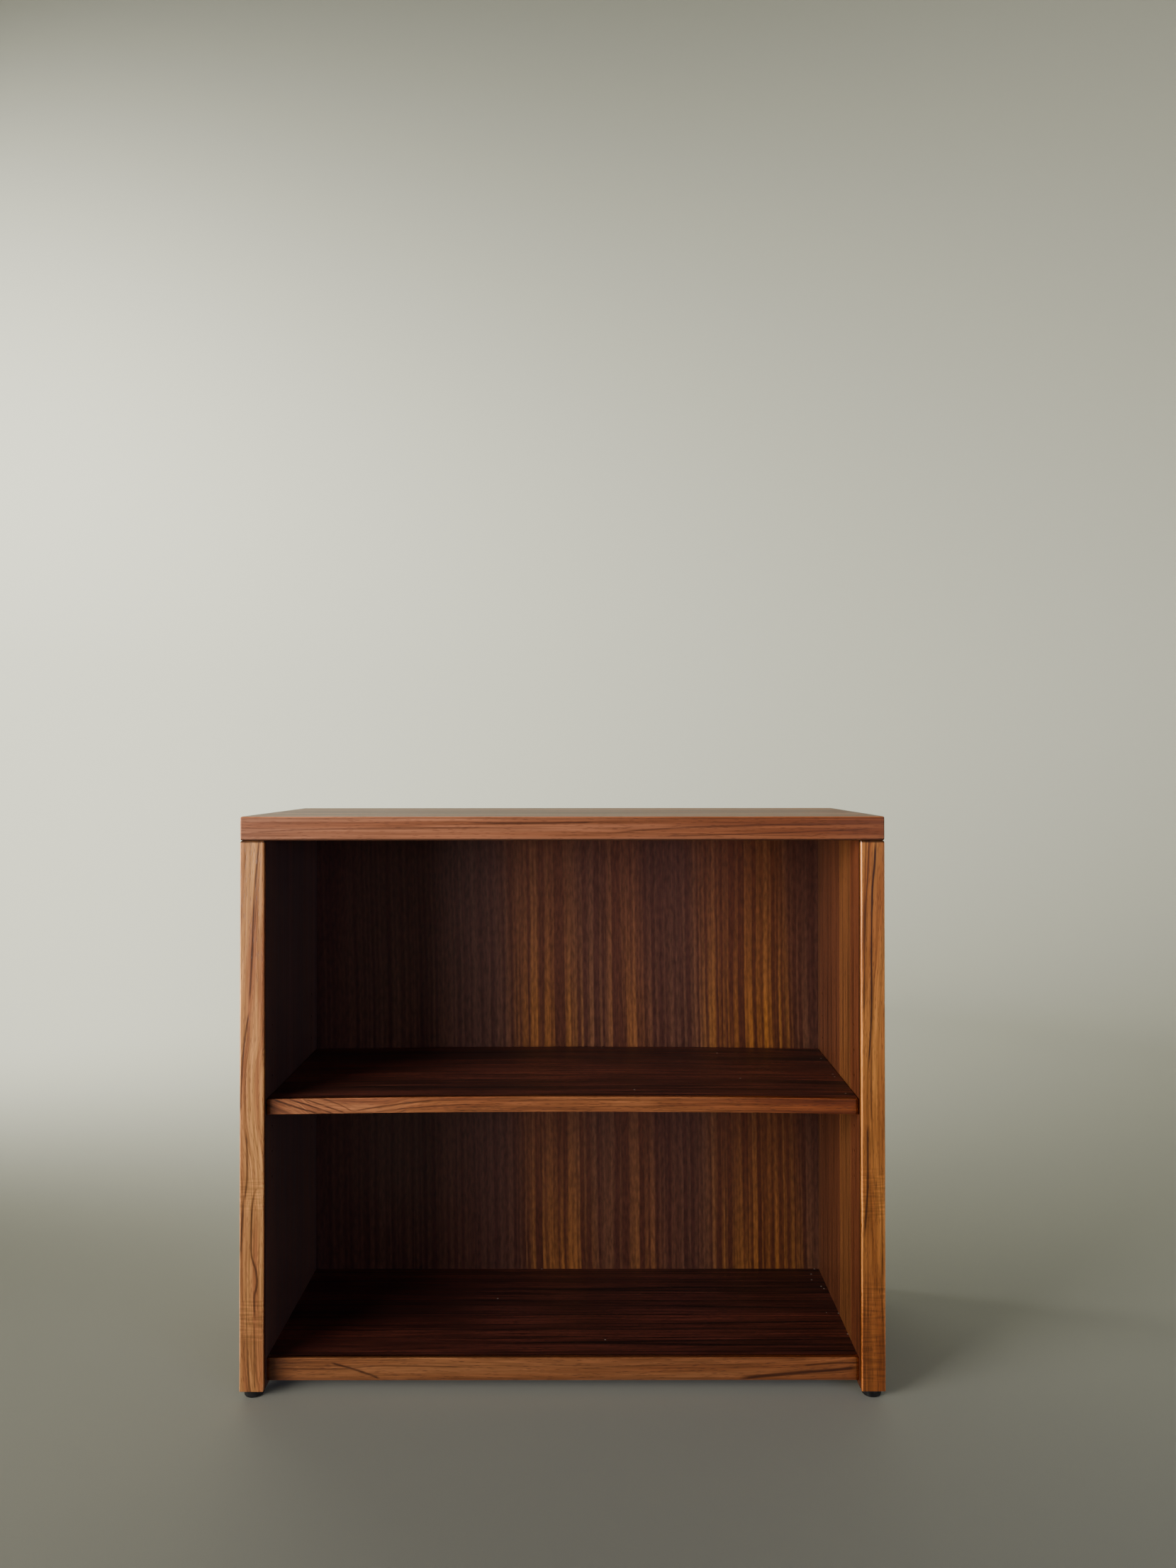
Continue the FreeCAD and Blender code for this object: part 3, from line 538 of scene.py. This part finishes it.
def wear(mesh, is_glued, seed, nicks=()):
    """Hand-planed arrises wander by up to 0.2 mm, and knocks leave small dents: (place, size)
    in mm."""
    mesh.normal_update()
    for vertex in mesh.verts:
        if is_glued(vertex.co):
            continue
        depth = 0.10 * MM * (1 + noise.noise(vertex.co * 18 + Vector((seed, 0, 0))))
        for place, size in nicks:
            distance = (vertex.co - Vector(place) * MM).length / (size * MM)
            depth += 0.35 * size * MM * math.exp(-2 * distance * distance)
        vertex.co -= vertex.normal * depth


def finish_piece(name, mesh, material, body, replaced):
    """Turn a bmesh into a piece that rides on its body and stands for a node. Its normals
    follow the larger faces, so flat faces stay flat and eased arrises look round."""
    data = bpy.data.meshes.new(name)
    bmesh.ops.recalc_face_normals(mesh, faces=mesh.faces)
    normals = []
    for vertex in mesh.verts:
        total = sum((face.normal * face.calc_area() for face in vertex.link_faces), Vector())
        normals.append(total.normalized())
    mesh.to_mesh(data)
    mesh.free()
    data.shade_smooth()
    data.normals_split_custom_set_from_vertices(normals)
    data.materials.append(material)
    piece = bpy.data.objects.new(name, data)
    bpy.context.scene.collection.objects.link(piece)
    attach(piece, body)
    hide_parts(*replaced)


def dress(node, material):
    """Give a CAD node one material in all its slots."""
    slots = NODES[node].material_slots
    if not slots:
        NODES[node].data.materials.append(material)
    for slot in slots:
        slot.material = material


# ---- camera, light and floor -----------------------------------------------------------------


def set_camera():
    """A wide lens, all but level, a little above the top and right of the middle."""
    right_of_middle, in_front, above_top = 0.0385, 1.349, 0.0574
    tilt, lean, turn = 0.0066, 0.0005, -0.0004
    camera = bpy.data.objects.new("camera", bpy.data.cameras.new("camera"))
    bpy.context.scene.collection.objects.link(camera)
    camera.data.lens = 24.97
    camera.data.sensor_width = 36.0
    camera.data.shift_x = -0.0037
    camera.data.shift_y = -0.0134
    camera.location = (right_of_middle, cad_low.y - in_front, cad_high.z + above_top)
    camera.rotation_euler = (math.pi / 2 + tilt, lean, turn)
    bpy.context.scene.camera = camera


def add_light(name, place, target, size, power, colour, spread):
    """A rectangular lamp that shines from one place at another; spread in degrees."""
    lamp = bpy.data.lights.new(name, "AREA")
    lamp.shape = "RECTANGLE"
    lamp.size, lamp.size_y = size
    lamp.energy = power
    lamp.spread = math.radians(spread)
    lamp.color = colour
    light = bpy.data.objects.new(name, lamp)
    light.location = place
    light.rotation_euler = (Vector(target) - Vector(place)).to_track_quat("-Z", "Y").to_euler()
    light.visible_camera = False
    bpy.context.scene.collection.objects.link(light)


def set_lights():
    """A big soft window from the left, a faint cool fill from the room, light on the wall
    behind, and a low pale sky."""
    add_light("window", (-2.0, -1.3, 1.05), (-0.4, 0.0, 1.05), size=(1.6, 1.5), power=19.8,
              colour=(1.0, 0.97, 0.92), spread=75)
    add_light("room", (1.9, -2.4, 0.6), (-0.2, 0.0, 0.4), size=(1.6, 1.2), power=10,
              colour=(0.55, 0.62, 1.0), spread=120)
    add_light("wall wash", (-2.1, 0.9, 2.0), (-0.5, 3.3, 1.3), size=(1.0, 2.2), power=150,
              colour=(1.0, 0.99, 0.90), spread=140)
    world = bpy.data.worlds.new("studio")
    world.use_nodes = True
    background = world.node_tree.nodes["Background"]
    background.inputs["Color"].default_value = (0.72, 0.8, 1.0, 1.0)
    background.inputs["Strength"].default_value = 0.05
    bpy.context.scene.world = world


def set_floor():
    """A round seamless sweep: flat under the bookcase, curving up to a pale wall all round."""
    flat_radius, bend, wall_top = 2.2, 1.2, 6.0
    bend_steps, turn_steps = 12, 96
    profile = [(0.0, 0.0), (flat_radius, 0.0)]
    for i in range(1, bend_steps + 1):
        angle = math.pi / 2 * i / bend_steps
        profile.append((flat_radius + bend * math.sin(angle), bend * (1 - math.cos(angle))))
    profile.append((flat_radius + bend, wall_top))
    mesh = bmesh.new()
    points = [mesh.verts.new((r, 0.0, h)) for r, h in profile]
    edges = [mesh.edges.new(pair) for pair in zip(points, points[1:])]
    bmesh.ops.spin(mesh, geom=points + edges, cent=(0, 0, 0), axis=(0, 0, 1),
                   angle=2 * math.pi, steps=turn_steps, use_merge=True)
    bmesh.ops.remove_doubles(mesh, verts=mesh.verts, dist=1e-5)
    data = bpy.data.meshes.new("studio_sweep")
    mesh.to_mesh(data)
    mesh.free()
    data.shade_smooth()
    data.materials.append(matte_paper("matte studio paper"))
    sweep = bpy.data.objects.new("studio_sweep", data)
    bpy.context.scene.collection.objects.link(sweep)


# ---- the pieces ------------------------------------------------------------------------------

# Places of veins, patches of painted shade, dark runs and nicks are in mm in the bookcase's own
# axes.
CHAMFER = 1.6 * MM
TOP_CHAMFER = 1.3 * MM
FOOT_CHAMFER = 0.6 * MM
EASED = 0.35 * MM
# The bottom's and the shelf's lippings are rounded rather than planed.
ROUNDED = 0.6 * MM


def make_top():
    """The top: veneered board, a full front lipping and two end lippings."""
    veneer_board(
        "top_board", "oiled teak veneer top", "xyz", 3, leaf=98, start=-144,
        tones=("#a46639", "#955731", "#aa6c3d", "#9a5c34"),
        size=3.0, run=1.8, contrast=1.6, roughs=(0.40, 0.54))
    low, high = corners("top_front_lipping")
    mesh = block(low, high)

    def lower_or_upright(p):
        at_front = near(p.y, low.y)
        at_end = near(p.x, low.x) or near(p.x, high.x)
        return (at_front and at_end) or (near(p.z, low.z) and (at_front or at_end))

    def upper(p):
        return near(p.z, high.z) and p.y < high.y - 0.1 * MM

    def glued(p):
        return near(p.y, high.y)

    plane_off(mesh, CHAMFER, lower_or_upright)
    plane_off(mesh, TOP_CHAMFER, upper)
    ease(mesh, EASED, glued)
    cut_across(mesh, 0, low.x, high.x)
    wear(mesh, glued, 1, nicks=(((236, -150, 720), 2.0), ((-90, -150, 690), 2.0)))
    teak = solid_teak(
        "oiled solid teak top lipping", "xzy", 11, tones=("#ac6c4a", "#945635", "#57301f"),
        size=0.7, run=1.7, lines=0.45,
        veins=(
            (((-400, 697), (-200, 706), (0, 705)), 1.6, 0.45),
            (((-120, 713), (-60, 712), (40, 713)), 1.8, 0.75),
            (((60, 699), (200, 708), (400, 711)), 1.8, 0.55),
            (((120, 695), (250, 699), (395, 705)), 1.4, 0.5),
        ),
        # Painted shade: the lipping darkens down into its joint over the sides, from 693.2 to 691.4
        # mm, and on its right end's arris, which is turned from the light.
        dark_runs=(("z", 693.2, 691.4), ("x", 398.6, 400.2)),
        # Painted shade: the lipping darkens from 60 mm to its right end, as the window's light
        # falls off.
        patches=((60, 330, "#efdab4"),))
    finish_piece("top_lipping", mesh, teak, "case", ["top_front_lipping"])
    for hand in ("left", "right"):
        dress("top_%s_end_lipping" % hand, solid_teak(
            "oiled solid teak %s end" % hand, "yzx", 13, tones=("#a8693f", "#945532", "#5c3120")))


def make_left_side():
    """The left side, in the window's shade: its leaves are drawn darker than the right side's as
    painted shade, and it has a little dust.
    """
    teak = solid_teak(
        "oiled solid teak left lipping", "zxy", 21, tones=("#de9a5a", "#b46f43", "#673623"),
        way=((9, -376), (120, -381), (250, -380), (380, -392), (450, -386), (520, -384),
             (690, -377)),
        veins=(
            (((485, -388), (540, -385), (614, -382), (700, -375)), 2.2, 0.85),
            (((350, -399), (400, -397), (448, -393), (480, -387)), 2.0, 0.8),
            (((170, -399), (235, -395), (287, -390), (335, -393)), 2.4, 0.75),
            (((95, -379), (124, -381), (144, -378), (184, -385), (215, -385), (260, -377)),
             2.2, 0.8),
            (((9, -380), (60, -381), (95, -381)), 1.8, 0.6),
            (((570, -382), (640, -378), (700, -376)), 1.4, 0.6),
        ),
        # Painted shade in the joint under the top: the lipping darkens upwards from 686.8 to 688.4
        # mm.
        ripples=((225, 280), (60, 130)), dark_runs=(("z", 686.8, 688.4),))
    # Painted shade: these leaves are darker than the right side's, as this side is turned from the
    # window.
    make_side("left", -1, teak, leaves=("#543122", "#4c2c1f", "#4f2f20", "#59341f", "#4f2f20"),
              haze=0.06, nicks=(
                  ((-400, -150, 615), 2.2), ((-386, -150, 532), 1.5), ((-400, -150, 180), 2.5)))


def make_right_side():
    """The right side, which the window lights: its leaves darken towards the back."""
    teak = solid_teak(
        "oiled solid teak right lipping", "zxy", 27, tones=("#de8f42", "#b66a2e", "#5a2c14"),
        way=((9, 386), (200, 384), (300, 380), (420, 378), (560, 384), (690, 388)),
        veins=(
            (((400, 378), (500, 383), (560, 383), (620, 384), (660, 387), (700, 389)),
             2.0, 0.95),
            (((200, 373.5), (235, 376), (273, 378), (302, 378), (340, 377)), 2.4, 0.85),
            (((470, 374), (580, 375), (640, 378), (700, 381)), 1.6, 0.7),
            (((340, 381), (390, 382), (440, 381)), 2.2, 0.5),
            (((90, 397), (140, 395), (180, 396)), 1.6, 0.5),
        ),
        # Painted shade in the joint under the top: the lipping darkens upwards from 686.8 to 688.4
        # mm.
        ripples=((215, 290), (10, 150)), dark_runs=(("z", 686.8, 688.4),),
        # Painted shade: the lipping darkens towards the bottom, from 480 mm down and more from 260
        # mm down, as the window's light falls off.
        patches=((480, 330, "#ece8e6"), (260, 60, "#cfbcc0")))
    make_side("right", 1, teak, leaves=("#6e3b22", "#774827", "#603520", "#5a321f", "#54321f"),
              haze=0.0, nicks=(
                  ((400, -150, 489), 2.5), ((371, -149, 448), 2.5), ((371, -149, 212), 3.0),
                  ((388, -150, 543), 1.5), ((379, -150, 166), 1.8)))


def make_side(hand, side, teak, leaves, haze, nicks):
    """One side: its veneered board with the wire holes, and its lipping with planed arrises.
    side is -1 on the left and 1 on the right; leaves are its veneer's tones from the front."""
    veneer_board(
        hand + "_side_board", "oiled teak veneer %s side" % hand, "zyx", 5 + side, leaf=63,
        start=-158, tones=leaves, size=3.2, run=3.0, contrast=1.5, lines=0.9,
        # The veneer darkens over 2 mm towards its front edge, where it meets the lipping.
        dark_runs=(("y", -139.5, -141.5),), haze=haze)
    node = hand + "_side_front_lipping"
    low, high = corners(node)
    mesh = block(low, high)
    outside = low.x if side < 0 else high.x

    def front_or_top(p):
        upright = near(p.y, low.y) and not near(p.z, low.z) and not near(p.z, high.z)
        top = near(p.z, high.z) and (near(p.y, low.y) or near(p.x, outside))
        return upright or top

    plane_off(mesh, CHAMFER, front_or_top)
    plane_off(mesh, FOOT_CHAMFER, lambda p: near(p.z, low.z) and near(p.y, low.y))
    ease(mesh, EASED, lambda p: near(p.y, high.y))
    cut_across(mesh, 2, low.z, high.z)
    wear(mesh, lambda p: near(p.y, high.y) or near(p.z, low.z), side, nicks)
    finish_piece(hand + "_lipping", mesh, teak, "case", [node])


def rounded_lipping(low, high, seed):
    """A lipping between the sides, with its two front arrises rounded."""
    mesh = block(low, high)

    def at_end(p):
        return near(p.x, low.x) or near(p.x, high.x)

    ease(mesh, ROUNDED, lambda p: not near(p.y, low.y) or at_end(p))
    cut_across(mesh, 0, low.x, high.x)
    wear(mesh, lambda p: near(p.y, high.y) or at_end(p), seed)
    return mesh


def make_bottom():
    """The bottom: veneered board and its front lipping."""
    # The bottom's leaves are drawn much darker than the top's: partly its own darker tone and
    # partly painted shade, as little light reaches it under the shelf.
    veneer_board(
        "bottom_board", "oiled teak veneer bottom", "xyz", 7, leaf=110, start=-137,
        tones=("#5a2a1f", "#4c231b", "#552a1e"), size=2.4, run=2.0, contrast=2.4, lines=0.9,
        roughs=(0.42, 0.56), specks=0.05, late=0.85, haze=0.006)
    mesh = rounded_lipping(*corners("bottom_front_lipping"), seed=3)
    teak = solid_teak(
        "oiled solid teak bottom lipping", "xzy", 33, tones=("#a96d42", "#905530", "#472413"),
        way=((-370, 28), (-200, 32), (100, 30), (370, 38)), lines=0.25,
        veins=(
            (((220, 17), (280, 23), (330, 27), (372, 31)), 3.4, 0.9),
            (((-370, 34), (-300, 29), (-220, 33), (-120, 31)), 1.6, 0.5),
            (((-40, 36), (100, 33), (240, 37)), 1.6, 0.3),
            (((-290, 37), (-258, 28), (-228, 17)), 2.2, 0.85),
            (((300, 33), (340, 36), (372, 37)), 1.8, 0.7),
        ),
        # Painted shadow at the left end, where the left side shades it, and painted shade towards
        # the right end, where light falls off.
        patches=((-325, -368, "#a89488"), (120, 350, "#f8e2d2")))
    finish_piece("bottom_lipping", mesh, teak, "case", ["bottom_front_lipping"])


def make_back():
    """The back: one veneered panel. Its ribbons are painted brighter and more golden low in each
    compartment, and its ground paler high in each: a painted shine and haze of the light there.
    """
    dress("back_panel", ribbon_teak(
        "oiled ribbon teak back", 51, leaf=152, start=-378,
        groups=((-375, 0), (-200, 2), (-90, 1), (-46, 8), (5, 9), (40, 7), (65, 4), (105, 7),
                (135, 5), (165, 2), (205, 3), (240, 9), (330, 10), (355, 4), (380, 1)),
        painted_shine_by_height=((37, 9.5), (180, 7), (340, 5), (375, 10), (480, 8), (600, 5.5), (695, 4))))


def make_shelf():
    """The shelf: a crowned veneered board and its lipping, bent to the same crown."""
    # The shelf's leaves are drawn much darker than the top's: partly its own darker tone and partly
    # painted shade, as little light reaches it under the top.
    veneer_board(
        "shelf_board", "oiled teak veneer shelf", "xyz", 9, leaf=120, start=-132,
        tones=("#5d2d20", "#52271c", "#582d1f"), size=4.0, run=2.0, contrast=2.4, lines=1.0,
        roughs=(0.42, 0.56), specks=0.03, late=0.8, haze=0.006)
    low, high = corners("shelf_front_lipping")
    upper_face_at_ends = 367 * MM
    crown = corners("shelf_board")[1].z - upper_face_at_ends
    mesh = rounded_lipping(low, high - Vector((0, 0, crown)), seed=5)
    for vertex in mesh.verts:
        share = (vertex.co.x - low.x) / (high.x - low.x)
        vertex.co.z += 4 * crown * share * (1 - share)
    teak = solid_teak(
        "oiled solid teak shelf lipping", "xzy", 61, tones=("#c47e50", "#9e5d3b", "#4a2617"),
        way=((-369, 385), (-330, 370), (-290, 354), (-230, 352), (-180, 361), (369, 361)),
        veins=(
            (((-362, 367), (-338, 359), (-305, 349)), 1.8, 0.85),
            (((-345, 368), (-318, 360), (-285, 349)), 1.8, 0.9),
            (((-325, 368), (-300, 360), (-270, 350)), 1.6, 0.75),
            (((-300, 368), (-282, 362), (-262, 352)), 1.4, 0.6),
            (((-262, 352), (-220, 359), (-160, 366)), 1.5, 0.7),
            (((-235, 351), (-180, 357), (-110, 361)), 1.5, 0.6),
            (((-150, 353), (0, 357), (200, 359)), 1.4, 0.45),
        ),
        # Painted shadow at the left end, where the left side shades it; darker from -270 mm on,
        # partly the wood's own tone and partly painted falloff of light and sheen; and painted
        # shade towards the right end.
        patches=((-330, -366, "#a08c84"), (-270, -160, "#e0d4c2"), (60, 360, "#d6b088")))
    finish_piece("shelf_lipping", mesh, teak, "shelf", ["shelf_front_lipping"])


def make_hardware():
    """Wires, glides, nails and dowels."""
    steel = drawn_steel("bright drawn steel")
    nylon = moulded_nylon("moulded black nylon")
    beech = turned_beech("turned raw beech")
    dress("glide_nails", steel)
    for hand in ("left", "right"):
        dress("%s_shelf_wire" % hand, steel)
        for end in ("front", "rear"):
            dress("%s_%s_glide" % (end, hand), nylon)
        for level in ("top", "bottom"):
            dress("%s_%s_dowels" % (level, hand), beech)


set_camera()
set_lights()
set_floor()
make_top()
make_left_side()
make_right_side()
make_bottom()
make_back()
make_shelf()
make_hardware()
